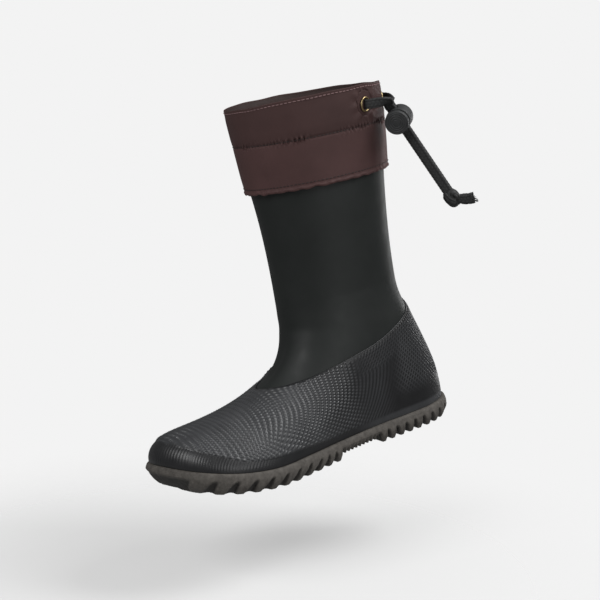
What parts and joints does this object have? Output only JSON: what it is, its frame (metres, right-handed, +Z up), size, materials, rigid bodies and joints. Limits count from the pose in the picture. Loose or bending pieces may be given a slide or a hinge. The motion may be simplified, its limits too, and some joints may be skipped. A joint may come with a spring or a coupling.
{
  "type": "insulated hunting boot",
  "caption": "Left insulated rubber hunting boot with a textured galosh, smooth rubber leg, nylon cuff with drawcord and cord lock, and a lugged sole.",
  "frame": {"origin": "on the ground, under the middle of the boot's box without the free drawcord", "axes": "+Z up, -X towards the toe, -Y towards the outer side of the left foot"},
  "size_m": [0.2876, 0.14, 0.2865],
  "materials": {
    "sole_rubber": "matt moulded rubber, brown-grey",
    "galosh_rubber": "satin rubber with a raised grid of small bumps",
    "shaft_rubber": "smooth satin rubber",
    "cuff_nylon": "satin coated nylon, maroon-brown",
    "felt": "grey insulating felt",
    "knit_lining": "brushed knit",
    "fibre_board": "pressed fibre board",
    "shank_plastic": "glass-filled plastic",
    "footbed_foam": "foamed sheet",
    "eyelet_brass": "worn satin brass",
    "cord": "flat braided black cord",
    "lock_plastic": "fine-grained moulded plastic",
    "spring_steel": "plain spring wire"
  },
  "bodies": {
    "boot": {"outsole": "sole_rubber", "arch_shank": "shank_plastic", "insole_board": "fibre_board", "felt_insole": "felt", "footbed": "footbed_foam", "galosh_shell": "galosh_rubber", "shaft_shell": "shaft_rubber", "insulation_bootie": "felt", "knit_lining": "knit_lining", "heel_counter": "fibre_board", "toe_puff": "fibre_board", "cuff_outer_panel": "cuff_nylon", "cuff_inner_panel": "cuff_nylon", "eyelet_near": "eyelet_brass", "eyelet_washer_near": "eyelet_brass", "eyelet_far": "eyelet_brass", "eyelet_washer_far": "eyelet_brass", "drawcord_strand_near": "cord", "drawcord_strand_far": "cord", "drawcord_channel_run": "cord", "cord_knot": "cord", "cord_tail_near": "cord", "cord_tail_far": "cord"},
    "cord_lock": {"cord_lock_body": "lock_plastic", "cord_lock_spring": "spring_steel"},
    "lock_button": {"cord_lock_button": "lock_plastic"}
  },
  "joints": [
    {"name": "cord_lock_slide", "type": "slide", "parent": "boot", "child": "cord_lock", "axis": [0.368, -0.209, -0.906], "range_m": [0, 0.058]},
    {"name": "lock_button_press", "type": "slide", "parent": "cord_lock", "child": "lock_button", "axis": [0.7636, 0.624, 0.1662], "range_m": [0, 0.0022], "stiffness_N_per_m": 400, "springref_m": -0.002, "deforming": ["cord_lock_spring"]}
  ]
}
